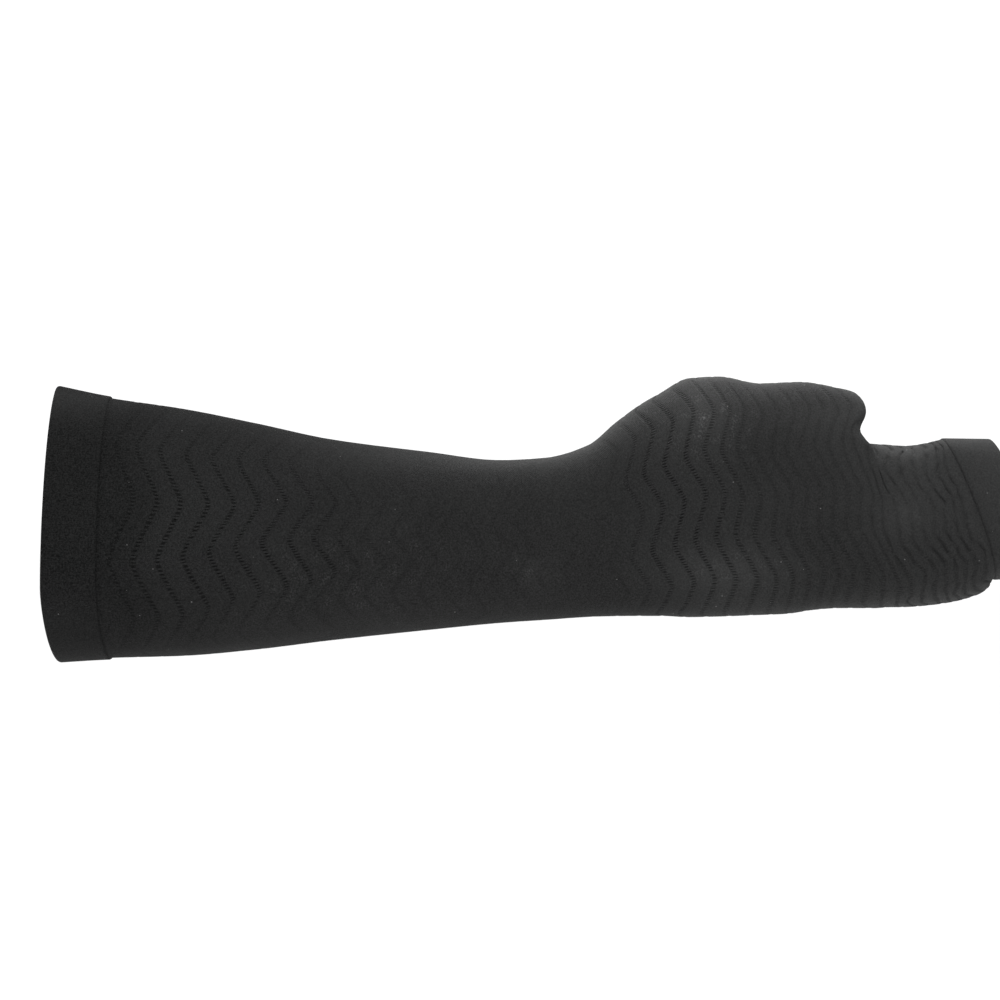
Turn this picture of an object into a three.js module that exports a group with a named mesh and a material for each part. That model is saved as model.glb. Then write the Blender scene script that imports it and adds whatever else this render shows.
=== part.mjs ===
// Slimming arm sleeve: a seamless knit tube in its worn form, shaped for the right side.
// The tube runs from a wide turned welt, through a narrow wrist and past a closed thumb pouch,
// to a narrow welt at its finger end. Chevron stitch lines ring it, and it gathers at that end.
// Millimetres. +X runs along the tube to its finger end, +Z to its thumb side, -Y to its back.
// The origin is the middle of its wrist.
import * as THREE from "three";

// Driving dimensions
const TUBE_WALL = 1.4; // one layer of knit, at a crest between two stitch lines
const TOP_CUFF_RISE = 0.6; // how far each turned welt stands proud of the tube
const FINGER_CUFF_RISE = 0.4;
const SEAM_GAP = 0.35; // clearance between the tube and each welt
const ZIGZAGS = 7; // chevrons in one stitch line, once round the tube
const SIDES_PER_ZIGZAG = 6;
const SIDES = ZIGZAGS * SIDES_PER_ZIGZAG;

// Places along the sleeve are counted in courses: stitch line n lies on course n.
const TOP_EDGE = -2.2;
const TOP_SEAM = -0.2;
const FINGER_SEAM = 44;
const FINGER_EDGE = 47;

// A table of sections. The first column is the course, and the values between two rows follow
// a cubic that never overshoots them.
class Table {
  constructor(columns, rows) {
    this.courses = rows.map((row) => row[0]);
    this.columns = columns.slice(1).map((name, i) => {
      const values = rows.map((row) => row[i + 1]);
      return { name, values, slopes: this.slopesOf(values) };
    });
  }

  slopesOf(values) {
    const rises = values.slice(1).map((value, i) => {
      return (value - values[i]) / (this.courses[i + 1] - this.courses[i]);
    });
    return values.map((_, i) => {
      const before = rises[i - 1] ?? rises[i];
      const after = rises[i] ?? rises[i - 1];
      return before * after > 0 ? (2 * before * after) / (before + after) : 0;
    });
  }

  at(course) {
    const last = this.courses.length - 1;
    const c = THREE.MathUtils.clamp(course, this.courses[0], this.courses[last]);
    const next = Math.min(last, Math.max(1, this.courses.findIndex((row) => row > c)));
    const i = c >= this.courses[last] ? last - 1 : next - 1;
    const span = this.courses[i + 1] - this.courses[i];
    const t = (c - this.courses[i]) / span;
    const found = {};
    for (const { name, values, slopes } of this.columns) {
      const [a, b] = [values[i], values[i + 1]];
      const [startSlope, endSlope] = [slopes[i] * span, slopes[i + 1] * span];
      const cubic = 2 * (a - b) + startSlope + endSlope;
      const square = 3 * (b - a) - 2 * startSlope - endSlope;
      found[name] = ((cubic * t + square) * t + startSlope) * t + a;
    }
    return found;
  }
}

// Side outline of the worn tube. The ridge is its thumb-side edge, and the keel its
// little-finger-side edge. The ridge climbs the thumb pouch and drops down its tip.
// The keel blouses over the finger welt at the end.
const OUTLINE = new Table(
  ["course", "ridgeX", "ridgeZ", "keelX", "keelZ"],
  [
    [-2.2, -166.6, 52.1, -165.9, -42.4],
    [-0.2, -149.4, 48.5, -149.4, -41.4],
    [3.0, -122.6, 44.5, -122.6, -40.6],
    [6.0, -97.5, 39.5, -97.5, -38.4],
    [9.0, -72.2, 34.1, -72.2, -35.3],
    [13.0, -38.3, 29.7, -38.3, -31.7],
    [16.0, -13.8, 26.9, -13.8, -29.3],
    [18.0, 1.7, 27.7, 2.4, -28.2],
    [20.0, 16.6, 32.1, 19.7, -27.1],
    [21.5, 25.9, 39.7, 31.4, -26.9],
    [23.0, 34.8, 46.2, 42.8, -26.9],
    [24.0, 41.4, 50.0, 50.7, -27.3],
    [25.5, 51.8, 55.4, 61.4, -27.1],
    [27.0, 62.3, 56.0, 72.1, -26.7],
    [29.0, 76.4, 53.7, 84.5, -26.2],
    [31.0, 90.4, 54.2, 94.5, -24.8],
    [33.0, 103.5, 52.1, 103.5, -24.2],
    [34.0, 109.3, 50.4, 108.3, -24.2],
    [34.7, 112.2, 47.0, 111.8, -24.2],
    [35.3, 112.6, 42.6, 114.9, -24.2],
    [36.0, 111.2, 38.3, 118.0, -24.0],
    [36.6, 110.7, 34.7, 120.8, -23.8],
    [37.2, 113.2, 32.8, 123.5, -23.8],
    [38.5, 119.4, 32.1, 129.7, -23.5],
    [40.0, 125.9, 31.7, 136.6, -22.8],
    [42.0, 133.2, 32.6, 145.2, -21.2],
    [43.0, 135.9, 33.3, 150.1, -19.7],
    [43.5, 137.1, 33.6, 153.9, -17.3],
    [44.0, 138.3, 34.0, 155.9, -14.1],
    [47.0, 155.3, 33.8, 174.2, -13.5],
  ],
);

// Depth of each section to the back and to the palm side, the share of its height above the
// keel where it is deepest, how square it is (2 is an ellipse), the ridge's lean to the palm, and how
// far up a section stays level with its keel before it bows to its ridge (1 is straight).
const GIRTH = new Table(
  ["course", "back", "palm", "belly", "square", "ridgeLean", "bow"],
  [
    [-2.2, 35.0, 35.0, 0.28, 1.62, 0.0, 1.0],
    [-0.2, 34.0, 34.0, 0.32, 1.8, 0.0, 1.0],
    [6.0, 30.0, 30.5, 0.44, 2.05, 0.0, 1.0],
    [13.0, 23.5, 25.0, 0.5, 2.1, 0.0, 1.0],
    [16.5, 20.5, 22.0, 0.5, 2.2, 0.0, 1.0],
    [20.0, 20.0, 23.5, 0.5, 2.2, 1.0, 1.0],
    [24.0, 20.5, 28.0, 0.5, 2.1, 4.0, 1.0],
    [27.0, 20.0, 28.5, 0.47, 2.1, 6.0, 1.0],
    [31.0, 18.5, 25.5, 0.45, 2.1, 7.0, 1.0],
    [34.0, 17.5, 22.5, 0.45, 2.2, 6.0, 1.5],
    [36.0, 17.4, 20.5, 0.46, 2.7, 4.0, 3.0],
    [37.2, 17.2, 19.5, 0.47, 3.0, 2.5, 3.0],
    [40.0, 16.2, 17.0, 0.5, 2.8, 0.5, 1.9],
    [44.0, 14.0, 15.0, 0.5, 2.5, 0.0, 1.2],
    [47.0, 13.2, 14.0, 0.5, 2.4, 0.0, 1.2],
  ],
);

// Knit relief: how far each chevron swings along the tube, in courses, how deep a stitch line lies
// below the crests beside it, and how far round the tube the chevrons are turned. The knit lies
// nearly flat at the wrist and gathers into folds at the finger end.
const KNIT = new Table(
  ["course", "swing", "depth", "turn"],
  [
    [-0.2, 0.0, 0.0, 0.065],
    [1.2, 0.45, 0.25, 0.065],
    [12.0, 0.45, 0.25, 0.065],
    [16.0, 0.4, 0.1, 0.07],
    [20.0, 0.36, 0.1, 0.078],
    [23.0, 0.36, 0.25, 0.083],
    [28.0, 0.33, 0.25, 0.085],
    [33.0, 0.2, 0.25, 0.086],
    [38.0, 0.3, 0.5, 0.088],
    [42.0, 0.3, 0.5, 0.09],
    [43.4, 0.12, 0.3, 0.09],
    [44.0, 0.0, 0.0, 0.09],
  ],
);

// Swells and dents of the back, outward if height is positive.
const DENTS = [
  { name: "ulna", x: 0, z: -11, reachX: 11, reachZ: 9, height: 1.2 },
  { name: "thumb_web", x: 92, z: 18, reachX: 24, reachZ: 14, height: -1.4 },
  { name: "knuckle", x: 122, z: 8, reachX: 12, reachZ: 10, height: 0.8 },
];

// The tuck under the tip of the thumb pouch, where the cloth turns to the finger end.
const THUMB_TUCK = { x: 111.5, z: 36.8, reachX: 5, reachZ: 4.2, depth: 2.4 };

const RIM_STEPS = 4; // facets of a welt's rounded edge
const SLOPE_STEP = 0.02; // courses, for measuring the surface's direction
const ROUND_STEP = 0.002; // share of a turn, likewise

// One closed ring of the smooth surface. It starts at the ridge, goes down the back to
// the keel and up the palm side.
class Ring extends THREE.Curve {
  constructor(course) {
    super();
    this.outline = OUTLINE.at(course);
    this.girth = GIRTH.at(course);
    this.arcLengthDivisions = 240;
  }

  getPoint(t, target = new THREE.Vector3()) {
    const { ridgeX, ridgeZ, keelX, keelZ } = this.outline;
    const { back, palm, belly, square, ridgeLean, bow } = this.girth;
    const swell = (value) => Math.sign(value) * Math.abs(value) ** (2 / square);
    const up = swell(Math.cos(2 * Math.PI * t));
    const side = swell(Math.sin(2 * Math.PI * t));
    const height = belly + (up > 0 ? 1 - belly : belly) * up;
    return target.set(
      THREE.MathUtils.lerp(keelX, ridgeX, height ** bow),
      ridgeLean * height - (side > 0 ? back : palm) * side,
      THREE.MathUtils.lerp(keelZ, ridgeZ, height),
    );
  }
}

const rings = new Map();

function ringAt(course) {
  if (!rings.has(course)) rings.set(course, new Ring(course));
  return rings.get(course);
}

// 1 at the middle of a dent, and fading to 0 round it.
function nearness(point, { x, z, reachX, reachZ }) {
  return Math.exp(-(((point.x - x) / reachX) ** 2) - ((point.z - z) / reachZ) ** 2);
}

// A point of the smooth surface, at a share of the way round its course.
function surfacePoint(course, round) {
  const point = ringAt(course).getPointAt(THREE.MathUtils.euclideanModulo(round, 1));
  const back = THREE.MathUtils.smoothstep(-point.y, 0, ringAt(course).girth.back * 0.6);
  for (const dent of DENTS) point.y -= back * dent.height * nearness(point, dent);
  point.x -= THUMB_TUCK.depth * nearness(point, THUMB_TUCK);
  return point;
}

function surfaceNormal(course, round) {
  const along = surfacePoint(course + SLOPE_STEP, round);
  along.sub(surfacePoint(course - SLOPE_STEP, round));
  const across = surfacePoint(course, round + ROUND_STEP);
  across.sub(surfacePoint(course, round - ROUND_STEP));
  return across.cross(along).normalize();
}

// One ring of vertices, lifted off the smooth surface. A chevron ring swings along the tube.
function ringPoints({ course, lift, chevron = false }) {
  const { swing, turn } = KNIT.at(course);
  return Array.from({ length: SIDES }, (_, side) => {
    const phase = (side % SIDES_PER_ZIGZAG) / SIDES_PER_ZIGZAG;
    const zigzag = 4 * Math.abs(phase - 0.5) - 1;
    const place = chevron ? course + swing * zigzag : course;
    const round = side / SIDES + turn;
    const normal = surfaceNormal(place, round);
    return surfacePoint(place, round).addScaledVector(normal, lift);
  });
}

// A hollow band whose wall is a closed loop of rings: out along the outside, back along the inside.
function bandGeometry(loop) {
  const positions = loop.flatMap(ringPoints).flatMap((point) => point.toArray());
  const index = [];
  for (let ring = 0; ring < loop.length; ring++) {
    const nextRing = (ring + 1) % loop.length;
    for (let side = 0; side < SIDES; side++) {
      const nextSide = (side + 1) % SIDES;
      const [a, b] = [ring * SIDES + side, ring * SIDES + nextSide];
      const [c, d] = [nextRing * SIDES + side, nextRing * SIDES + nextSide];
      index.push(a, b, c, b, d, c);
    }
  }
  const geometry = new THREE.BufferGeometry();
  geometry.setAttribute("position", new THREE.Float32BufferAttribute(positions, 3));
  geometry.setIndex(index);
  geometry.computeVertexNormals();
  return geometry;
}

function range(start, end, step) {
  const count = Math.round((end - start) / step);
  return Array.from({ length: count + 1 }, (_, i) => start + i * step);
}

// Courses in so many millimetres along the ridge at a seam.
function coursesIn(length, course) {
  const { ridgeX: before } = OUTLINE.at(course - 0.5);
  const { ridgeX: after } = OUTLINE.at(course + 0.5);
  return length / (after - before);
}

// The knit tube: a ring in each stitch line and on each crest between two lines, inside a plain wall.
function tubeLoop() {
  const lines = range(1, FINGER_SEAM - 0.5, 0.5);
  const outside = lines.map((course) => {
    const inLine = Number.isInteger(course);
    return { course, lift: inLine ? -KNIT.at(course).depth : 0, chevron: true };
  });
  const inside = [...range(3, 30, 3), ...range(32, 38, 0.5), ...range(39, 43, 1), 43.5];
  return [
    { course: TOP_SEAM, lift: 0 },
    ...outside,
    { course: FINGER_SEAM, lift: 0 },
    { course: FINGER_SEAM, lift: -TUBE_WALL },
    ...inside.reverse().map((course) => ({ course, lift: -TUBE_WALL })),
    { course: TOP_SEAM, lift: -TUBE_WALL },
  ];
}

// A turned welt: two layers of knit from its seam to a rounded edge.
function welt({ seam, edge, rise, rings: count }) {
  const thickness = TUBE_WALL + rise;
  const rimCourses = coursesIn(thickness / 2, edge) * Math.sign(edge - seam);
  const straight = range(seam, edge - rimCourses, (edge - rimCourses - seam) / count);
  const rim = range(1, RIM_STEPS - 1, 1).map((step) => {
    const angle = (Math.PI * step) / RIM_STEPS;
    const course = edge - rimCourses + rimCourses * Math.sin(angle);
    return { course, lift: rise - (thickness / 2) * (1 - Math.cos(angle)) };
  });
  const loop = [
    ...straight.map((course) => ({ course, lift: rise })),
    ...rim,
    ...straight.reverse().map((course) => ({ course, lift: -TUBE_WALL })),
  ];
  return edge > seam ? loop : loop.reverse();
}

// Matte black knit, a little darker where the welts lie double.
const TUBE_COLOUR = 0x272828;
const WELT_COLOUR = 0x222324;

function piece(name, loop, color) {
  const material = new THREE.MeshStandardMaterial({ color, roughness: 0.92, metalness: 0 });
  const mesh = new THREE.Mesh(bandGeometry(loop), material);
  mesh.name = name;
  return mesh;
}

const topCuff = welt({
  seam: TOP_SEAM - coursesIn(SEAM_GAP, TOP_SEAM),
  edge: TOP_EDGE,
  rise: TOP_CUFF_RISE,
  rings: 3,
});
const fingerCuff = welt({
  seam: FINGER_SEAM + coursesIn(SEAM_GAP, FINGER_SEAM),
  edge: FINGER_EDGE,
  rise: FINGER_CUFF_RISE,
  rings: 3,
});

const sleeve = new THREE.Group();
sleeve.add(
  piece("top_cuff", topCuff, WELT_COLOUR),
  piece("knit_tube", tubeLoop(), TUBE_COLOUR),
  piece("finger_cuff", fingerCuff, WELT_COLOUR),
);

export default sleeve;
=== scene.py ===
import math
from typing import NamedTuple

import bpy
import numpy as np
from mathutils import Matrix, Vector


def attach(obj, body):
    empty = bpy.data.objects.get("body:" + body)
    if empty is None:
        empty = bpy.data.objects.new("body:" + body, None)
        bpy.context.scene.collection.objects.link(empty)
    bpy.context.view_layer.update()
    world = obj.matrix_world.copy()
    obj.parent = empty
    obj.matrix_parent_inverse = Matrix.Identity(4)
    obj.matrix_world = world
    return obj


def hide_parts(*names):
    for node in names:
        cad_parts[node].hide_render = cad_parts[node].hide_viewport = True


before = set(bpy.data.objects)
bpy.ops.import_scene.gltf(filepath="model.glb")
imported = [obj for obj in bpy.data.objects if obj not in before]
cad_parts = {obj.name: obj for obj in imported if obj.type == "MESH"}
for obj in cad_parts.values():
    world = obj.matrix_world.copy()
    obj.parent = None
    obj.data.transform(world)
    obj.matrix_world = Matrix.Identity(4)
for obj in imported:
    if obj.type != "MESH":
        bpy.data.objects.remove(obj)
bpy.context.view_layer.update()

MM = 0.001

# Driving dimensions
TUBE_WALL = 1.4
TOP_CUFF_RISE, FINGER_CUFF_RISE = 0.6, 0.4  # how far each welt stands off the tube
TOP_SEAM_ROLL, FINGER_SEAM_ROLL = 0.35, 0.8  # how far along the sleeve a rolled seam reaches
SEAM_DROP = 0.5  # how far a welt drops at its seam
ZIGZAGS = 7  # chevrons in one stitch line, once round the sleeve
RUNGS = 210  # yarn rungs in one stitch line
WALES = 420  # columns of knit loops, once round the sleeve
ROWS_PER_LINE = 16  # rows of knit loops between two stitch lines

# Courses count the sections of the worn form, and lines count the stitch lines of the knit.
TOP_EDGE = -2.2
TOP_SEAM = -0.2
FINGER_SEAM = 44
FINGER_EDGE = 47
FIRST_LINE, LAST_LINE = 1, 44
WRIST_LINE = 21  # the first line past the wrist
TOP_SEAM_SHIFT = 0.18  # courses that the sewn upper seam lies nearer the finger end
MID_BACK = 0.25  # share of a turn from the ridge to the middle of the back

# Resolution of the meshes
SIDES = 182
ARC_STEPS = 720
GRID_STEP = 0.02  # courses between two rings of the measured smooth surface
GRID_SIDES = 480
GRID_MARGIN = 0.001  # how far a sample stays short of the last ring, in rings
WELT_RINGS = 14
FOLD_RINGS = 7

# Ends of the tube and seams of the welts
PLAIN_LINES = (0.1, 0.4)  # rings between the upper seam and the first stitch line
TUBE_TUCK = 0.08  # courses that the tube's ends reach under the welts
TOP_TUCK_DROP, FINGER_TUCK_DROP = 0.5, 0.4  # how far these ends drop
ROLL_RINGS = (  # shares of a seam's roll and of its drop, and how far the ring is shaded
    {"roll": 0.0, "drop": 1.0, "shaded": 1.0},
    {"roll": 0.3, "drop": 0.3, "shaded": 0.6},
    {"roll": 1.0, "drop": 0.0, "shaded": 0.0},
)

# A ladder stitch: yarn rungs across a sunk line
LADDER_RINGS = (0.42, 0.75, 1.05, 1.7)  # distances of the mesh rings on each side of a stitch line
RING_ROOM = 0.45  # how far from its line such a ring may lie, in lines
LADDER_DEPTH = 0.3
LADDER_FLOOR, LADDER_BANK = 0.5, 1.0  # from a line to the edge of its floor, and to the cloth
EDGE_POWER = 3  # the higher, the narrower the bands at ridge and keel where ladders close
RUNG_STATIONS = (-1.2, -0.98, 0, 0.98, 1.2)  # distances of a rung's sections from the line
RUNG_DIPS = (0.25, 0, 0, 0, 0.25)  # how far these sections lie under the cloth
RUNG_SECTION = ((-1, -1), (-0.65, 0), (0.65, 0), (1, -1))  # corners, in half widths and heights
RUNG_WIDTH = 0.33  # half of a rung's width, as a share of the distance from one rung to the next
RUNG_HEIGHT = 0.12
RUNG_SINK = 0.1  # how far a rung lies under the cloth where its ladder is closed
RUNG_SHIFTS = (-0.2, 0.2)  # how far rungs lie off their even places, as a share of their distance
RUNG_LENGTHS, RUNG_WIDTHS = (0.9, 1.1), (0.75, 1.15)  # shares of the full length and width
RANDOM_SEED = 7

# How uneven the knit lies
CHEVRON_SHARPNESS = 0.94  # 1 is a zigzag with pointed peaks
SWING_WANDER = 0.1  # how much a chevron's swing differs, as a share
GATHER_SHIFT = 0.18  # courses that gathering moves a line
KEEL_POWER, RIDGE_POWER = 4, 24  # the higher, the narrower the band where a line bends to that edge
PUFF_WANDER = 0.25  # how much the height of the puffs differs, as a share
GATHER_WANDER = 0.35  # the same in gathered cloth
LEG_FLATTENING = 0.6  # how much flatter gathered cloth lies on one leg of each chevron, as a share
CREST = 0.2  # share of a puff that stands above the smooth surface
CREASE_POWER = 9  # the higher, the narrower the valley between two puffs
CREASE_BREAKS = (-0.5, 0.35)  # between these heights of its waves a crease goes from broken to whole

# How dents and patches fade
DENT_FADE = 0.6  # how far from the sides a dent is whole, as a share of the back's depth
PATCH_FADE = 8  # how far from the sides a patch is whole
LINE_DIMMING = 0.25  # share of a patch's paleness that its stitch lines lack

# Colours, as linear red, green and blue
DYE_DARK, DYE_LIGHT = (0.004, 0.0041, 0.0041), (0.046, 0.0463, 0.0463)
CORE_YARN = (0.08, 0.08, 0.081)
# Painted shade: the near-black mixed into open ladders and welt seams
DEEP_SHADE = (0.002, 0.002, 0.002)
LINT_GREY = (0.12, 0.12, 0.12)
FLOOR_WHITE = (0.93, 0.93, 0.93)

# Finish of the knit, with its noise in patches a metre
CLOTH_SHADER = {
    "Roughness": 0.92,
    "Specular IOR Level": 0.04,
    "Sheen Weight": 0.03,
    "Sheen Roughness": 0.4,
}
CLOUDS = {"scale": 38, "detail": 3}
GRAIN = {"scale": 1900, "detail": 2}
CLUMPS = {"scale": 210, "detail": 1}
LINT_SCALE, LINT_SIZE = 140, 0.029
LIGHT_BASE = -0.26  # share of the light dye before clouds, grain and paleness add to it
# PALE_LIGHT weighs the pale values, which hold painted light and painted shade besides the knit pulled thin
CLOUD_LIGHT, GRAIN_LIGHT, PALE_LIGHT = 0.15, 0.75, 0.5
SPECK_START, SPECK_GAIN = 0.5, 5  # grain from which a speck of core yarn shows, and how fast it grows
CLUMP_START, CLUMP_GAIN = 0.45, 4  # the same for clumps of specks
LADDER_SHADE, SEAM_SHADE = 0.58, 0.22  # how strongly painted shade darkens open ladders and welt seams
BUMP_DISTANCE, BUMP_STRENGTH = 0.1, 0.4
GRAIN_BUMP = 1.5  # height of the grain beside that of the knit loops

# Camera: the photograph's scale at the sleeve's middle and the camera's distance from it
PHOTO_SPAN = 345.0
CAMERA_AWAY = 850.0
CAMERA_X, CAMERA_Z = -13.8, 13.1
SENSOR_WIDTH = 36.0

# Studio
FLOOR_DROP = 260.0
FLOOR_REACH = 40.0  # metres
FLOOR_ROUGHNESS = 0.9
WORLD_STRENGTH = 1.1


def smoothstep(low, high, value):
    """0 up to the low value, 1 from the high one, and smooth between them."""
    t = np.clip((value - low) / (high - low), 0, 1)
    return t * t * (3 - 2 * t)


class Table:
    """Rows along the sleeve, with a smooth curve through each named column.

    The first column says where a row lies.
    """

    def __init__(self, columns, rows):
        self.places, *values = np.array(rows, float).T
        self.values = dict(zip(columns[1:], values))

    def slopes(self, values):
        """Slopes at the rows that keep the cubics between them from overshooting."""
        rises = np.diff(values) / np.diff(self.places)
        before = np.concatenate((rises[:1], rises))
        after = np.concatenate((rises, rises[-1:]))
        agree = before * after > 0
        total = np.where(agree, before + after, 1)
        return np.where(agree, 2 * before * after / total, 0)

    def at(self, name, place):
        """One column's values at these places."""
        values = self.values[name]
        place = np.clip(place, self.places[0], self.places[-1])
        row = np.clip(np.searchsorted(self.places, place, side="right") - 1, 0, len(values) - 2)
        span = self.places[row + 1] - self.places[row]
        t = (place - self.places[row]) / span
        slopes = self.slopes(values)
        start, end = values[row], values[row + 1]
        start_slope, end_slope = slopes[row] * span, slopes[row + 1] * span
        cubic = 2 * (start - end) + start_slope + end_slope
        square = 3 * (end - start) - 2 * start_slope - end_slope
        return ((cubic * t + square) * t + start_slope) * t + start


# Side outline: the ridge is the thumb-side edge and the keel the little-finger-side edge.
OUTLINE = Table(
    ("course", "ridge_x", "ridge_z", "keel_x", "keel_z"),
    (
        (-2.2, -166.6, 52.1, -165.9, -42.4),
        (-0.2, -149.4, 48.5, -149.4, -41.4),
        (3.0, -122.6, 44.5, -122.6, -40.6),
        (6.0, -97.5, 39.5, -97.5, -38.4),
        (9.0, -72.2, 34.1, -72.2, -35.3),
        (13.0, -38.3, 29.7, -38.3, -31.7),
        (16.0, -13.8, 26.9, -13.8, -29.3),
        (18.0, 1.7, 27.7, 2.4, -28.2),
        (20.0, 16.6, 32.1, 19.7, -27.1),
        (21.5, 25.9, 39.7, 31.4, -26.9),
        (23.0, 34.8, 46.2, 42.8, -26.9),
        (24.0, 41.4, 50.0, 50.7, -27.3),
        (25.5, 51.8, 55.4, 61.4, -27.1),
        (27.0, 62.3, 56.0, 72.1, -26.7),
        (29.0, 76.4, 53.7, 84.5, -26.2),
        (31.0, 90.4, 54.2, 94.5, -24.8),
        (33.0, 103.5, 52.1, 103.5, -24.2),
        (34.0, 109.3, 50.4, 108.3, -24.2),
        (34.7, 112.2, 47.0, 111.8, -24.2),
        (35.3, 112.6, 42.6, 114.9, -24.2),
        (36.0, 111.2, 38.3, 118.0, -24.0),
        (36.6, 110.7, 34.7, 120.8, -23.8),
        (37.2, 113.2, 32.8, 123.5, -23.8),
        (38.5, 119.4, 32.1, 129.7, -23.5),
        (40.0, 125.9, 31.7, 136.6, -22.8),
        (42.0, 133.2, 32.6, 145.2, -21.2),
        (43.0, 135.9, 33.3, 150.1, -19.7),
        (43.5, 137.1, 33.6, 153.9, -17.3),
        (44.0, 138.3, 34.0, 155.9, -14.1),
        (47.0, 155.3, 33.8, 174.2, -13.5),
    ),
)

# Depth to the back and to the palm side, the share of the height where a section is deepest, how
# square it is (2 is an ellipse), the ridge's lean to the palm side, and how far up a section stays
# level with its keel before it bows to its ridge (1 is straight).
GIRTH = Table(
    ("course", "back", "palm", "belly", "square", "ridge_lean", "bow"),
    (
        (-2.2, 35.0, 35.0, 0.28, 1.62, 0.0, 1.0),
        (-0.2, 34.0, 34.0, 0.32, 1.8, 0.0, 1.0),
        (6.0, 30.0, 30.5, 0.44, 2.05, 0.0, 1.0),
        (13.0, 23.5, 25.0, 0.5, 2.1, 0.0, 1.0),
        (16.5, 20.5, 22.0, 0.5, 2.2, 0.0, 1.0),
        (20.0, 20.0, 23.5, 0.5, 2.2, 1.0, 1.0),
        (24.0, 20.5, 28.0, 0.5, 2.1, 4.0, 1.0),
        (27.0, 20.0, 28.5, 0.47, 2.1, 6.0, 1.0),
        (31.0, 18.5, 25.5, 0.45, 2.1, 7.0, 1.0),
        (34.0, 17.5, 22.5, 0.45, 2.2, 6.0, 1.5),
        (36.0, 17.4, 20.5, 0.46, 2.7, 4.0, 3.0),
        (37.2, 17.2, 19.5, 0.47, 3.0, 2.5, 3.0),
        (40.0, 16.2, 17.0, 0.5, 2.8, 0.5, 1.9),
        (44.0, 14.0, 15.0, 0.5, 2.5, 0.0, 1.2),
        (47.0, 13.2, 14.0, 0.5, 2.4, 0.0, 1.2),
    ),
)

# Where the stitch lines lie: the courses that a line meets at the ridge, on the shoulder below it and
# at the keel, how far its chevrons swing along the sleeve, in courses, how far round it they are
# turned, as a share of a turn, and how much wider they are pulled on the back than on the palm side.
LINES = Table(
    ("line", "ridge", "shoulder", "keel", "swing", "turn", "pulled"),
    (
        (-0.2, -0.2, -0.2, -0.2, 0.0, 0.06, 0.18),
        (1.2, 1.16, 1.16, 1.16, 0.45, 0.062, 0.18),
        (3.0, 2.84, 2.84, 2.84, 0.47, 0.063, 0.15),
        (5.0, 4.92, 4.92, 4.92, 0.47, 0.054, 0.0),
        (8.0, 8.0, 8.0, 8.0, 0.46, 0.032, -0.1),
        (10.0, 9.92, 9.92, 9.92, 0.4, 0.02, -0.26),
        (13.0, 13.0, 13.0, 13.0, 0.38, 0.004, -0.2),
        (20.0, 20.0, 20.0, 20.0, 0.36, -0.036, -0.06),
        (24.0, 24.0, 24.0, 24.0, 0.36, -0.049, -0.04),
        (26.0, 25.95, 25.95, 26.1, 0.36, -0.05, -0.04),
        (28.0, 27.55, 27.55, 28.3, 0.36, -0.051, -0.03),
        (30.0, 29.2, 29.2, 30.5, 0.37, -0.053, -0.02),
        (32.0, 30.8, 30.8, 32.6, 0.39, -0.056, 0.0),
        (34.0, 32.3, 32.3, 35.0, 0.4, -0.06, 0.0),
        (35.0, 33.2, 33.1, 36.2, 0.38, -0.063, 0.0),
        (36.0, 34.6, 33.9, 37.4, 0.37, -0.067, 0.0),
        (37.0, 36.4, 34.7, 38.4, 0.37, -0.071, 0.0),
        (38.0, 37.5, 36.15, 39.3, 0.38, -0.075, 0.0),
        (40.0, 39.2, 38.35, 41.0, 0.38, -0.081, 0.0),
        (42.0, 41.3, 40.6, 42.5, 0.36, -0.084, 0.0),
        (43.0, 42.4, 41.75, 43.2, 0.32, -0.085, 0.0),
        (44.0, 43.2, 42.8, 43.6, 0.2, -0.085, 0.0),
        (45.0, 44.0, 44.0, 44.0, 0.0, -0.085, 0.0),
    ),
)

# How the cloth lies: how open the ladder of a stitch line is, how far it closes at the ridge and the
# keel, how high the cloth puffs up between two lines, how crumpled it is (0 is smooth), and how pale
# it is painted: partly the knit pulled thinner towards the hand, partly painted light that brightens it
# towards the finger end, darkest at the upper welt.
CLOTH = Table(
    ("line", "ladder", "edge_closed", "puff", "crumple", "pale"),
    (
        (-2.2, 0.0, 1.0, 0.0, 0.0, -0.11),
        (-0.2, 0.1, 1.0, 0.0, 0.0, -0.1),
        (1.2, 0.75, 0.7, 0.03, 0.0, -0.04),
        (3.0, 1.0, 0.95, 0.04, 0.0, 0.16),
        (8.0, 1.0, 1.0, 0.04, 0.0, 0.2),
        (12.0, 0.55, 1.0, 0.02, 0.0, 0.24),
        (15.0, 0.25, 0.8, 0.0, 0.0, 0.25),
        (20.0, 0.1, 0.3, 0.0, 0.0, 0.26),
        (22.5, 0.7, 0.5, 0.05, 0.0, 0.3),
        (24.0, 1.0, 0.6, 0.07, 0.0, 0.35),
        (28.0, 0.9, 0.7, 0.04, 0.1, 0.3),
        (31.0, 0.7, 0.7, 0.02, 0.2, 0.26),
        (34.0, 0.65, 0.5, 0.03, 0.4, 0.28),
        (36.0, 0.62, 0.3, 0.2, 0.7, 0.36),
        (37.0, 0.6, 0.2, 0.4, 0.9, 0.38),
        (40.0, 0.55, 0.0, 0.64, 1.0, 0.42),
        (43.0, 0.52, 0.0, 0.74, 0.85, 0.45),
        (44.0, 0.35, 0.0, 0.62, 0.6, 0.46),
        (45.0, 0.0, 0.0, 0.0, 0.0, 0.58),
        (47.0, 0.0, 0.0, 0.0, 0.0, 0.8),
    ),
)

# Swells and dents of the back, outward if the height is positive.
DENTS = (
    {"name": "ulna", "x": 0, "z": -11, "reach_x": 11, "reach_z": 9, "height": 1.2},
    {"name": "thumb_web", "x": 92, "z": 18, "reach_x": 24, "reach_z": 14, "height": -1.4},
    {"name": "knuckle", "x": 122, "z": 8, "reach_x": 12, "reach_z": 10, "height": 0.8},
)

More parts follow.
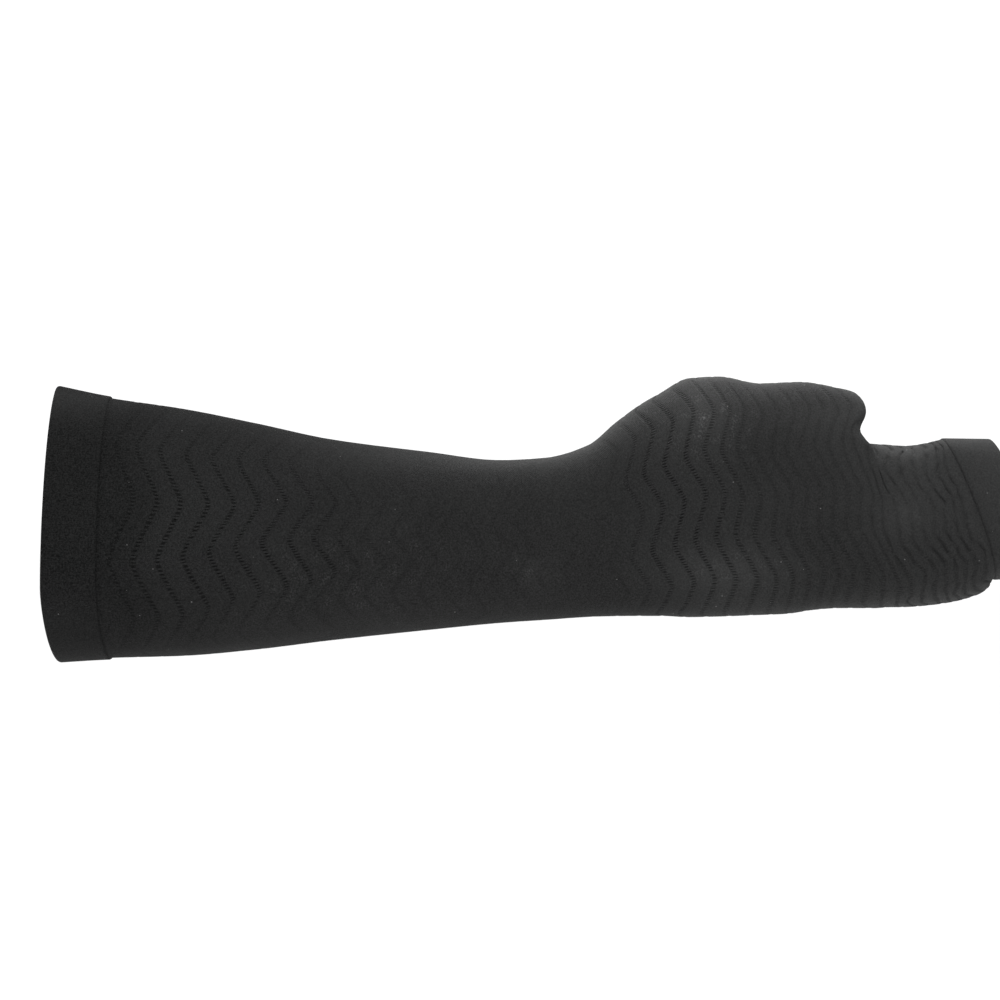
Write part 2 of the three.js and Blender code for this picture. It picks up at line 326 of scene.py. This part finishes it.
# The tuck under the tip of the thumb pouch, where the cloth turns to the finger end.
THUMB_TUCK = {"x": 111.5, "z": 36.8, "reach_x": 5, "reach_z": 4.2, "depth": 4.0}

# Patches of the knit's tone: how much paler the knit looks where it is pulled thin, and, where the number
# is negative, how dark painted shade makes the underside at the wrist and the elbow;
# and how far the pale core yarn shows between the stitch lines as scattered grains.
PALE_AND_PAINTED_SHADE_PATCHES = (
    # welt_top and welt_low make the welt paler along its upper and lower edges
    {"name": "welt_top", "x": -166, "z": 50, "reach_x": 28, "reach_z": 9, "pale": 0.45, "grains": 0.0},
    {"name": "welt_low", "x": -158, "z": -25, "reach_x": 17, "reach_z": 12, "pale": 0.13, "grains": 0.0},
    {"name": "thumb_base", "x": 56, "z": 43, "reach_x": 12, "reach_z": 13, "pale": 0.63, "grains": 1.3},
    {"name": "thumb_root", "x": 28, "z": 37, "reach_x": 15, "reach_z": 11, "pale": 0.25, "grains": 0.0},
    {"name": "thumb_tip", "x": 100, "z": 41, "reach_x": 16, "reach_z": 14, "pale": 0.34, "grains": 0.0},
    {"name": "heel_of_hand", "x": 64, "z": -11, "reach_x": 22, "reach_z": 9, "pale": 0.57, "grains": 0.4},
    # Painted shade: the underside at the wrist and the elbow painted darker
    {"name": "wrist_low_shade", "x": 30, "z": -25, "reach_x": 27, "reach_z": 8, "pale": -0.17, "grains": 0.0},
    {"name": "elbow_low_shade", "x": -125, "z": -38, "reach_x": 42, "reach_z": 8, "pale": -0.11, "grains": 0.0},
    {"name": "knuckle", "x": 124, "z": 7, "reach_x": 8, "reach_z": 7, "pale": 0.32, "grains": 0.0},
    {"name": "little_finger", "x": 130, "z": -20, "reach_x": 42, "reach_z": 9, "pale": 0.15, "grains": 0.0},
    {"name": "ulna", "x": -2, "z": -11, "reach_x": 8, "reach_z": 5, "pale": 0.25, "grains": 0.4},
    {"name": "fingers_top", "x": 126, "z": 20, "reach_x": 36, "reach_z": 19, "pale": 0.33, "grains": 0.0},
    {"name": "forearm", "x": -66, "z": -13, "reach_x": 34, "reach_z": 15, "pale": 0.03, "grains": 0.45},
)

# Places where the ladders lie closed.
CLOSED_PATCHES = (
    {"name": "upper_forearm", "x": -44, "z": 30, "reach_x": 42, "reach_z": 24, "strength": 0.95},
    {"name": "lower_forearm", "x": -62, "z": -36, "reach_x": 50, "reach_z": 14, "strength": 0.95},
    {"name": "back_of_hand", "x": 92, "z": 16, "reach_x": 28, "reach_z": 18, "strength": 0.7},
    {"name": "thumb_top", "x": 90, "z": 46, "reach_x": 28, "reach_z": 22, "strength": 0.8},
    {"name": "gathers", "x": 130, "z": 14, "reach_x": 26, "reach_z": 18, "strength": 0.95},
)

# Places where the gathers are stretched smooth.
SMOOTH_PATCHES = (
    {"name": "knuckle", "x": 124, "z": 6.5, "reach_x": 11, "reach_z": 8.5, "strength": 1.0},
    {"name": "little_finger", "x": 136, "z": -21, "reach_x": 30, "reach_z": 14, "strength": 0.92},
)


def nearness(points, place):
    """1 at the middle of a place on the sleeve, and fading to 0 round it."""
    off_x = (points[..., 0] - place["x"]) / place["reach_x"]
    off_z = (points[..., 2] - place["z"]) / place["reach_z"]
    return np.exp(-(off_x**2) - off_z**2)


class SmoothSurface:
    """The worn tube without its knit, measured on a fine grid of courses and shares of a turn.

    A turn starts at the ridge, goes down the back to the keel and up the palm side.
    """

    def __init__(self):
        self.courses = np.arange(TOP_EDGE, FINGER_EDGE + GRID_STEP / 2, GRID_STEP)
        self.points = np.array([self.even_ring(ring) for ring in self.raw_rings()])
        self.dent()
        along = np.gradient(self.points, axis=0)
        wrapped = np.concatenate((self.points[:, -2:-1], self.points, self.points[:, 1:2]), axis=1)
        across = wrapped[:, 2:] - wrapped[:, :-2]
        normals = np.cross(across, along)
        self.normals = normals / np.linalg.norm(normals, axis=2, keepdims=True)
        self.across = across / np.linalg.norm(across, axis=2, keepdims=True)
        self.pitches = np.linalg.norm(along, axis=2).mean(axis=1) / GRID_STEP
        self.girths = np.linalg.norm(np.diff(self.points, axis=1), axis=2).sum(axis=1)

    def raw_rings(self):
        """Rings of the tables' sections, one for each course."""
        turn = np.linspace(0, 2 * np.pi, ARC_STEPS + 1)
        course = self.courses[:, None]
        bend = 2 / GIRTH.at("square", course)
        up = np.sign(np.cos(turn)) * np.abs(np.cos(turn)) ** bend
        side = np.sign(np.sin(turn)) * np.abs(np.sin(turn)) ** bend
        belly = GIRTH.at("belly", course)
        height = np.clip(belly + np.where(up > 0, 1 - belly, belly) * up, 0, 1)
        depth = np.where(side > 0, GIRTH.at("back", course), GIRTH.at("palm", course))
        keel_x, keel_z = OUTLINE.at("keel_x", course), OUTLINE.at("keel_z", course)
        lag = (OUTLINE.at("ridge_x", course) - keel_x) * height ** GIRTH.at("bow", course)
        y = GIRTH.at("ridge_lean", course) * height - depth * side
        z = keel_z + (OUTLINE.at("ridge_z", course) - keel_z) * height
        return np.stack((keel_x + lag, y, z), axis=2)

    def even_ring(self, ring):
        """The same ring with its points evenly spaced along it."""
        steps = np.linalg.norm(np.diff(ring, axis=0), axis=1)
        length = np.concatenate(([0], np.cumsum(steps)))
        places = np.linspace(0, length[-1], GRID_SIDES + 1)
        return np.stack([np.interp(places, length, ring[:, axis]) for axis in range(3)], axis=1)

    def dent(self):
        """Moves the points to the swells, the dents and the thumb's tuck."""
        whole = DENT_FADE * GIRTH.at("back", self.courses)[:, None]
        on_back = smoothstep(0, whole, -self.points[:, :, 1])
        for dent in DENTS:
            self.points[:, :, 1] -= on_back * dent["height"] * nearness(self.points, dent)
        self.points[:, :, 0] -= THUMB_TUCK["depth"] * nearness(self.points, THUMB_TUCK)

    def sample(self, grid, course, around):
        """Values of a grid at these courses and shares of a turn, blended from the four nearest."""
        last = len(self.courses) - 1
        row = np.clip((course - TOP_EDGE) / GRID_STEP, 0, last - GRID_MARGIN)
        side = np.mod(around, 1) * GRID_SIDES
        i, j = row.astype(int), np.minimum(side.astype(int), GRID_SIDES - 1)
        s, t = (row - i)[..., None], (side - j)[..., None]
        low = grid[i, j] * (1 - t) + grid[i, j + 1] * t
        high = grid[i + 1, j] * (1 - t) + grid[i + 1, j + 1] * t
        return low * (1 - s) + high * s

    def place(self, course, around, lift):
        """Points that stand off the surface by a lift."""
        normal = self.sample(self.normals, course, around)
        return self.sample(self.points, course, around) + normal * lift[..., None]

    def pitch(self, course):
        """Millimetres in a course, on average once round."""
        return np.interp(course, self.courses, self.pitches)

    def girth(self, course):
        """Millimetres once round the sleeve."""
        return np.interp(course, self.courses, self.girths)


surface = SmoothSurface()


def chevron(around):
    """A rounded zigzag between -1 and 1, with a peak at each whole share of a chevron."""
    rounded = CHEVRON_SHARPNESS * np.cos(2 * np.pi * ZIGZAGS * around)
    return np.arcsin(rounded) / np.arcsin(CHEVRON_SHARPNESS)


class Wave(NamedTuple):
    """One of the waves that add up to uneven cloth."""

    share: float
    count: int  # waves once round the sleeve
    drift: float  # waves from one stitch line to the next
    start: float  # radians


SLOW_WAVES = (Wave(0.6, 2, 0.23, 0.0), Wave(0.4, 5, -0.37, 1.3))
QUICK_WAVES = (Wave(0.4, 11, 0.17, 0.0), Wave(0.3, 19, -0.29, 0.7), Wave(0.3, 27, 0.41, 2.1))
BREAK_WAVES = (Wave(0.55, 21, 0.37, 0.4), Wave(0.45, 34, -0.23, 1.9))


def add_up(waves, line, around):
    """The height of these waves, between about -1 and 1."""
    total = 0
    for wave in waves:
        angle = 2 * np.pi * (wave.count * around + wave.drift * line) + wave.start
        total = total + wave.share * np.sin(angle)
    return total


def wander(line, around):
    """The slow unevenness of pulled cloth."""
    return add_up(SLOW_WAVES, line, around)


def crumple(line, around):
    """The quick unevenness of gathered cloth."""
    return add_up(QUICK_WAVES, line, around)


def whole_crease(line, around):
    """How a crease of gathered cloth breaks up into short ones: 1 on a crease and 0 in a break."""
    return smoothstep(*CREASE_BREAKS, add_up(BREAK_WAVES, line, around))


def turned(line, around):
    """Where a share of a stitch line lies round the sleeve, as a share of a turn."""
    even = around + LINES.at("turn", line)
    return even + LINES.at("pulled", line) * np.sin(2 * np.pi * (even - MID_BACK)) / (2 * np.pi)


def seam_shift(course):
    """How far the cloth at the upper seam is pulled to the finger end, in courses."""
    return TOP_SEAM_SHIFT * np.clip(1 - np.abs(course - TOP_SEAM), 0, 1)


def course_of(line, around):
    """Where a stitch line, or a place between two, lies along the sleeve, in courses."""
    turn = turned(line, around)
    ridge, shoulder, keel = (LINES.at(name, line) for name in ("ridge", "shoulder", "keel"))
    rise = 1 - np.sin(np.pi * turn) ** KEEL_POWER
    crown = np.cos(np.pi * turn) ** RIDGE_POWER
    straight = keel + (shoulder - keel) * rise + (ridge - shoulder) * crown
    swing = LINES.at("swing", line) * (chevron(around) + SWING_WANDER * wander(line, around))
    shift = GATHER_SHIFT * CLOTH.at("crumple", line) * crumple(line, around)
    return straight + swing + shift + seam_shift(line)


def line_pitch(line):
    """Millimetres between two stitch lines, on average once round."""
    ends = np.stack((line - 0.5, line + 0.5))
    before, after = (LINES.at("shoulder", ends) + LINES.at("keel", ends)) / 2
    return surface.pitch((before + after) / 2) * (after - before)


def on_the_back(points):
    """1 on the back and 0 on the palm side."""
    return smoothstep(0, PATCH_FADE, -points[..., 1])


def left_by(patches, line, around):
    """The share of the knit's relief that these patches leave."""
    points = surface.sample(surface.points, course_of(line, around), turned(line, around))
    left = 1
    for patch in patches:
        left = left * (1 - patch["strength"] * on_the_back(points) * nearness(points, patch))
    return left


def off_line(line):
    """Distance to the nearest stitch line, in lines, and 1 if there is such a line."""
    nearest = np.round(line)
    return np.abs(line - nearest), (nearest >= FIRST_LINE) & (nearest <= LAST_LINE)


def ladder_share(line, around):
    """How open the ladder is: 1 in the middle of an open stitch line and 0 on the cloth beside it."""
    distance, real_line = off_line(line)
    at_edge = np.abs(np.cos(2 * np.pi * turned(line, around))) ** EDGE_POWER
    openness = CLOTH.at("ladder", line) * (1 - CLOTH.at("edge_closed", line) * at_edge)
    openness = real_line * openness * left_by(CLOSED_PATCHES, line, around)
    return openness * (1 - smoothstep(LADDER_FLOOR, LADDER_BANK, distance * line_pitch(line)))


def relief(line, around):
    """How far the knit stands off the smooth surface."""
    puff = CLOTH.at("puff", line) * left_by(SMOOTH_PATCHES, line, around)
    puff = puff * (1 + PUFF_WANDER * wander(line, around))
    flat_leg = 0.5 + 0.5 * np.sin(2 * np.pi * ZIGZAGS * around)
    uneven = GATHER_WANDER * crumple(line + 0.5, around) - LEG_FLATTENING * flat_leg
    puff = puff * (1 + CLOTH.at("crumple", line) * uneven)
    sharp = 1 - CLOTH.at("crumple", line) * (1 - whole_crease(np.round(line), around))
    valley = (1 - 2 * off_line(line)[0]) ** CREASE_POWER
    return puff * (CREST - sharp * valley) - LADDER_DEPTH * ladder_share(line, around)


def between_lines(line):
    """1 midway between two stitch lines and 0 on them."""
    distance, real_line = off_line(line)
    return np.where(real_line, np.sin(np.pi * distance) ** 2, 1)


def patched(column, points):
    """A column of the patches of pale knit and painted shade, added up at these points."""
    return sum(patch[column] * on_the_back(points) * nearness(points, patch) for patch in PALE_AND_PAINTED_SHADE_PATCHES)


def paleness(line, points):
    """How pale the knit is painted at these points: paler where it is pulled thin, with painted light
    towards the finger end and painted shade on the underside at the wrist and the elbow.
    """
    dimmed = 1 - LINE_DIMMING * (1 - between_lines(line))
    return CLOTH.at("pale", line) + patched("pale", points) * dimmed


def grains(line, points):
    """How far pale grains of the core yarn show at these points."""
    return patched("grains", points) * between_lines(line)


class Ring(NamedTuple):
    """One ring of a piece's mesh, SIDES points round."""

    points: np.ndarray
    line: float
    shaded: np.ndarray  # how far painted shade darkens each point, in an open ladder or a seam


SHARES = np.arange(SIDES) / SIDES  # where a ring's points lie on its line


def knit_ring(line):
    """A ring of the tube's outside, which follows the chevrons."""
    lines = np.full(SIDES, line)
    points = surface.place(course_of(lines, SHARES), turned(lines, SHARES), relief(lines, SHARES))
    return Ring(points, line, ladder_share(lines, SHARES))


def plain_ring(course, lift, shaded=0.0):
    """A ring that runs straight round the sleeve."""
    turn = turned(course, SHARES)
    courses = np.full(SIDES, course + seam_shift(course))
    points = surface.place(courses, turn, np.full(SIDES, lift))
    return Ring(points, course, np.full(SIDES, shaded))


def new_object(name, points, faces, material):
    """A smooth-shaded mesh piece, from points in millimetres."""
    mesh = bpy.data.meshes.new(name)
    mesh.from_pydata((points * MM).tolist(), [], faces.tolist())
    mesh.shade_smooth()
    mesh.materials.append(material)
    piece = bpy.data.objects.new(name, mesh)
    bpy.context.scene.collection.objects.link(piece)
    return piece


def add_values(mesh, name, values):
    """A named value at each vertex, for the material."""
    attribute = mesh.attributes.new(name, "FLOAT", "POINT")
    attribute.data.foreach_set("value", np.ascontiguousarray(values, dtype=np.float32).ravel())


def wall(name, rings, material):
    """A hollow band whose wall is a closed loop of rings.

    The knit's own coordinates go to a UV map: loops of knit round the sleeve, and rows along it.
    """
    count = len(rings)
    ring = np.arange(count)[:, None]
    side = np.arange(SIDES)[None, :]
    after, beside = (ring + 1) % count, (side + 1) % SIDES
    corners = [(ring, side), (ring, beside), (after, beside), (after, side)]
    faces = np.stack([r * SIDES + s for r, s in corners], axis=2).reshape(-1, 4)
    piece = new_object(name, np.concatenate([r.points for r in rings]), faces, material)
    lines = np.array([r.line for r in rings])
    shape = (count, SIDES)
    corner_sides = (side, side + 1, side + 1, side)
    corner_rings = (ring, ring, after, after)
    loops = np.stack([np.broadcast_to(s, shape) for s in corner_sides], axis=2)
    rows = np.stack([np.broadcast_to(lines[r], shape) for r in corner_rings], axis=2)
    knit = np.stack((loops * WALES / SIDES, rows * ROWS_PER_LINE), axis=3)
    layer = piece.data.uv_layers.new(name="knit")
    layer.data.foreach_set("uv", knit.astype(np.float32).ravel())
    add_values(piece.data, "shaded", np.concatenate([r.shaded for r in rings]))
    # The pale values: the knit pulled thin, painted light towards the finger end and painted shade on the
    # underside
    add_values(piece.data, "pale", np.concatenate([paleness(r.line, r.points) for r in rings]))
    add_values(piece.data, "grains", np.concatenate([grains(r.line, r.points) for r in rings]))
    return piece


def knit_lines():
    """Places of the tube's outer rings: close together at each stitch line, with one on each crest."""
    lines = [TOP_SEAM, *PLAIN_LINES]
    for number in range(FIRST_LINE, LAST_LINE + 1):
        steps = np.array(LADDER_RINGS) / line_pitch(number)
        steps = steps[steps < RING_ROOM]
        lines += [*(number - steps[::-1]), number, *(number + steps), number + 0.5]
    return lines


def make_tube(material):
    """The tube between the welts, with its ends tucked under them and a plain inside."""
    rings = [plain_ring(TOP_SEAM - TUBE_TUCK, -TOP_TUCK_DROP)]
    rings += [knit_ring(line) for line in knit_lines()]
    rings.append(plain_ring(FINGER_SEAM, 0.0))
    rings.append(plain_ring(FINGER_SEAM + TUBE_TUCK, -FINGER_TUCK_DROP))
    rings += [plain_ring(course, -TUBE_WALL) for course in np.arange(FINGER_SEAM, TOP_SEAM, -1.0)]
    rings.append(plain_ring(TOP_SEAM, -TUBE_WALL))
    return wall("knit_tube_cloth", rings, material)


def make_welt(name, seam, edge, rise, roll, material):
    """A turned welt: two layers of knit with a rounded fold at the edge and a rolled seam."""
    thickness = TUBE_WALL + rise
    way = math.copysign(1, edge - seam)
    fold = way * thickness / 2 / float(surface.pitch(edge))
    roll = way * roll / float(surface.pitch(seam))
    straight = np.linspace(seam + 2 * roll, edge - fold, WELT_RINGS)
    rings = []
    for part in ROLL_RINGS:
        lift = rise - part["drop"] * SEAM_DROP
        rings.append(plain_ring(seam + part["roll"] * roll, lift, part["shaded"]))
    rings += [plain_ring(course, rise) for course in straight]
    for angle in np.linspace(0, np.pi, FOLD_RINGS + 2)[1:-1]:
        lift = rise - thickness / 2 * (1 - math.cos(angle))
        rings.append(plain_ring(edge - fold + fold * math.sin(angle), lift))
    rings += [plain_ring(course, -TUBE_WALL) for course in straight[::-2]]
    rings.append(plain_ring(seam, -TUBE_WALL))
    return wall(name, rings if way > 0 else rings[::-1], material)


def rung_points(number, random):
    """The yarn rungs across one stitch line: short flat rods along the sleeve.

    The points are counted by rung, by station along it and by corner of its section.
    """
    section = np.array(RUNG_SECTION)
    around = (np.arange(RUNGS) + random.uniform(*RUNG_SHIFTS, RUNGS))[:, None] / RUNGS
    reach = random.uniform(*RUNG_LENGTHS, RUNGS)[:, None] * RUNG_STATIONS / line_pitch(number)
    line = number + reach
    around = np.broadcast_to(around, line.shape)
    openness = np.broadcast_to(ladder_share(float(number), around[:, :1]), line.shape)
    cloth = relief(line, around) + LADDER_DEPTH * ladder_share(line, around)
    course, turn = course_of(line, around), turned(line, around)
    top = surface.place(course, turn, cloth - RUNG_DIPS - RUNG_SINK * (1 - openness))
    across = surface.sample(surface.across, course, turn)[:, :, None]
    normal = surface.sample(surface.normals, course, turn)[:, :, None]
    width = RUNG_WIDTH * surface.girth(course[:, :, None, None]) / RUNGS
    width = width * random.uniform(*RUNG_WIDTHS, (RUNGS, 1, 1, 1))
    wide = across * width * section[:, :1]
    high = normal * RUNG_HEIGHT * section[:, 1:]
    return top[:, :, None] + wide + high


def rung_faces():
    """The faces of one rung: the sides from station to station, and its two ends."""
    corners = len(RUNG_SECTION)
    last = corners * (len(RUNG_STATIONS) - 1)
    faces = []
    for near in range(0, last, corners):
        far = near + corners
        for corner in range(corners):
            beside = (corner + 1) % corners
            faces.append((near + corner, near + beside, far + beside, far + corner))
    faces.append(tuple(reversed(range(corners))))
    faces.append(tuple(range(last, last + corners)))
    return np.array(faces)


def make_rungs(name, numbers, material):
    """The rungs of these stitch lines, as one piece."""
    random = np.random.default_rng(RANDOM_SEED)
    points = [rung_points(number, random).reshape(-1, 3) for number in numbers]
    points_each = len(RUNG_STATIONS) * len(RUNG_SECTION)
    firsts = points_each * np.arange(RUNGS * len(numbers))[:, None, None]
    faces = (firsts + rung_faces()).reshape(-1, len(RUNG_SECTION))
    piece = new_object(name, np.concatenate(points), faces, material)
    pale = [paleness(number, places) for number, places in zip(numbers, points)]
    # The same pale values on the rungs: thin knit, painted light and painted shade
    add_values(piece.data, "pale", np.concatenate(pale))
    return piece


class Nodes:
    """A material's node tree, with short ways to add nodes to it."""

    def __init__(self, name):
        self.material = bpy.data.materials.new(name)
        self.material.use_nodes = True
        self.tree = self.material.node_tree
        self.shader = self.tree.nodes["Principled BSDF"]
        self.place = self.add("TexCoord").outputs["Object"]

    def add(self, kind, **settings):
        """A new node of this kind."""
        node = self.tree.nodes.new("ShaderNode" + kind)
        for name, value in settings.items():
            setattr(node, name, value)
        return node

    def feed(self, socket, value):
        """Links a socket to another node's output, or sets it to a number or a colour."""
        if isinstance(value, bpy.types.NodeSocket):
            self.tree.links.new(value, socket)
        elif isinstance(value, tuple):
            socket.default_value = (*value, 1)
        else:
            socket.default_value = value

    def math(self, operation, *values):
        """The result of a math node with these values."""
        node = self.add("Math", operation=operation)
        for socket, value in zip(node.inputs, values):
            self.feed(socket, value)
        return node.outputs[0]

    def above(self, value, start, gain):
        """How far a value is above its start, times a gain, and 0 below it."""
        return self.math("MAXIMUM", self.math("MULTIPLY_ADD", value, gain, -gain * start), 0)

    def mix(self, share, first, second):
        """The first colour, with this share of the second."""
        node = self.add("Mix", data_type="RGBA")
        self.feed(node.inputs["Factor"], share)
        self.feed(node.inputs["A"], first)
        self.feed(node.inputs["B"], second)
        return node.outputs["Result"]

    def noise(self, scale, detail):
        """Noise that is fixed to the piece, between 0 and 1."""
        node = self.add("TexNoise")
        node.inputs["Scale"].default_value = scale
        node.inputs["Detail"].default_value = detail
        self.feed(node.inputs["Vector"], self.place)
        return node.outputs["Fac"]

    def attribute(self, name):
        """A value that the mesh holds at its vertices."""
        return self.add("Attribute", attribute_name=name).outputs["Fac"]

    def knit_loops(self):
        """Height of plain knit: columns of V-shaped loops, from the knit UV map."""
        parts = self.add("SeparateXYZ")
        self.feed(parts.inputs["Vector"], self.add("UVMap", uv_map="knit").outputs["UV"])
        loop = self.math("FRACT", parts.outputs["X"])
        from_middle = self.math("ABSOLUTE", self.math("SUBTRACT", loop, 0.5))
        slanted = self.math("ADD", parts.outputs["Y"], from_middle)
        row = self.math("SINE", self.math("MULTIPLY", slanted, 2 * math.pi))
        rib = self.math("COSINE", self.math("MULTIPLY", from_middle, 2 * math.pi))
        return self.math("ADD", row, rib)

    def lint(self):
        """1 on scattered fluff and 0 between it."""
        cells = self.add("TexVoronoi")
        cells.inputs["Scale"].default_value = LINT_SCALE
        self.feed(cells.inputs["Vector"], self.place)
        return self.math("LESS_THAN", cells.outputs["Distance"], LINT_SIZE)


def cloth_material(name, shade=0.0, loops=True):
    """Matte black knit: uneven dye, paler where it is pulled thin, with painted light and painted shade
    carried by its pale values, painted shade in open ladders and seams by the given shade, and a soft bloom
    of fibre ends.
    """
    nodes = Nodes(name)
    for socket, value in CLOTH_SHADER.items():
        nodes.shader.inputs[socket].default_value = value
    clouds = nodes.noise(**CLOUDS)
    grain = nodes.noise(**GRAIN)
    share = nodes.math("MULTIPLY_ADD", grain, GRAIN_LIGHT, LIGHT_BASE)
    share = nodes.math("MULTIPLY_ADD", clouds, CLOUD_LIGHT, share)
    # The pale values bring in the knit pulled thin, and also painted light and painted shade
    share = nodes.math("MULTIPLY_ADD", nodes.attribute("pale"), PALE_LIGHT, share)
    colour = nodes.mix(share, DYE_DARK, DYE_LIGHT)
    if shade:
        speck = nodes.above(grain, SPECK_START, SPECK_GAIN)
        clump = nodes.above(nodes.noise(**CLUMPS), CLUMP_START, CLUMP_GAIN)
        speck = nodes.math("MULTIPLY", nodes.math("MULTIPLY", speck, clump), nodes.attribute("grains"))
        colour = nodes.mix(speck, colour, CORE_YARN)
        # Painted shade: near-black mixed in by the shaded values, in open ladders and seams
        painted_shade = nodes.math("MULTIPLY", nodes.attribute("shaded"), shade)
        colour = nodes.mix(painted_shade, colour, DEEP_SHADE)
    colour = nodes.mix(nodes.lint(), colour, LINT_GREY)
    nodes.feed(nodes.shader.inputs["Base Color"], colour)
    bump = nodes.add("Bump")
    bump.inputs["Distance"].default_value = BUMP_DISTANCE * MM
    bump.inputs["Strength"].default_value = BUMP_STRENGTH
    height = nodes.math("MULTIPLY_ADD", grain, GRAIN_BUMP, nodes.knit_loops()) if loops else grain
    nodes.feed(bump.inputs["Height"], height)
    nodes.feed(nodes.shader.inputs["Normal"], bump.outputs["Normal"])
    return nodes.material


def dress():
    knit = cloth_material("tube_knit", shade=LADDER_SHADE)
    yarn = cloth_material("rung_yarn", loops=False)
    welt = cloth_material("welt_knit", shade=SEAM_SHADE)
    tube = make_tube(knit)
    top = make_welt("top_cuff_cloth", TOP_SEAM, TOP_EDGE, TOP_CUFF_RISE, TOP_SEAM_ROLL, welt)
    finger = make_welt(
        "finger_cuff_cloth", FINGER_SEAM, FINGER_EDGE, FINGER_CUFF_RISE, FINGER_SEAM_ROLL, welt
    )
    forearm_rungs = make_rungs("forearm_ladder_rungs", range(FIRST_LINE, WRIST_LINE), yarn)
    hand_rungs = make_rungs("hand_ladder_rungs", range(WRIST_LINE, LAST_LINE + 1), yarn)
    for piece in (tube, top, finger, forearm_rungs, hand_rungs):
        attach(piece, "root")
    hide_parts("knit_tube")
    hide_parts("top_cuff")
    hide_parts("finger_cuff")


def make_floor():
    """A wide pale floor, a little below the sleeve."""
    mesh = bpy.data.meshes.new("floor")
    corners = [(-1, -1), (1, -1), (1, 1), (-1, 1)]
    height = -FLOOR_DROP * MM
    points = [(x * FLOOR_REACH, y * FLOOR_REACH, height) for x, y in corners]
    mesh.from_pydata(points, [], [(0, 1, 2, 3)])
    pale = Nodes("floor_white")
    pale.feed(pale.shader.inputs["Base Color"], FLOOR_WHITE)
    pale.feed(pale.shader.inputs["Roughness"], FLOOR_ROUGHNESS)
    mesh.materials.append(pale.material)
    floor = bpy.data.objects.new("floor", mesh)
    bpy.context.scene.collection.objects.link(floor)


def area_light(name, place, target, size, power, spread):
    """A soft square light, aimed at a target: metres, watts, and the beam's width in degrees."""
    light = bpy.data.lights.new(name, "AREA")
    light.size = size
    light.energy = power
    light.spread = math.radians(spread)
    lamp = bpy.data.objects.new(name, light)
    lamp.location = place
    lamp.rotation_euler = (Vector(target) - lamp.location).to_track_quat("-Z", "Y").to_euler()
    bpy.context.scene.collection.objects.link(lamp)


def make_studio():
    """The floor, even white all round, a light overhead and two small ones behind the finger end."""
    make_floor()
    world = bpy.data.worlds.new("studio")
    world.use_nodes = True
    background = world.node_tree.nodes["Background"]
    background.inputs["Color"].default_value = (1, 1, 1, 1)
    background.inputs["Strength"].default_value = WORLD_STRENGTH
    bpy.context.scene.world = world
    area_light("overhead", (0.25, -0.3, 0.8), target=(0.07, 0, 0.02), size=0.5, power=3.4, spread=180)
    area_light("hand_top", (0.065, 0.1, 0.2), target=(0.065, 0, 0.02), size=0.16, power=0.36, spread=60)
    area_light("hand_low", (0.15, 0.1, -0.2), target=(0.15, 0, 0), size=0.24, power=0.16, spread=56)
    bpy.context.scene.view_settings.view_transform = "Standard"


def make_camera():
    """The camera, level and square to the sleeve's back."""
    camera = bpy.data.cameras.new("photo_camera")
    camera.sensor_width = SENSOR_WIDTH
    camera.lens = SENSOR_WIDTH * CAMERA_AWAY / PHOTO_SPAN
    holder = bpy.data.objects.new("photo_camera", camera)
    holder.location = (CAMERA_X * MM, -CAMERA_AWAY * MM, CAMERA_Z * MM)
    holder.rotation_euler = (math.radians(90), 0, 0)
    bpy.context.scene.collection.objects.link(holder)
    bpy.context.scene.camera = holder


make_camera()
dress()
make_studio()
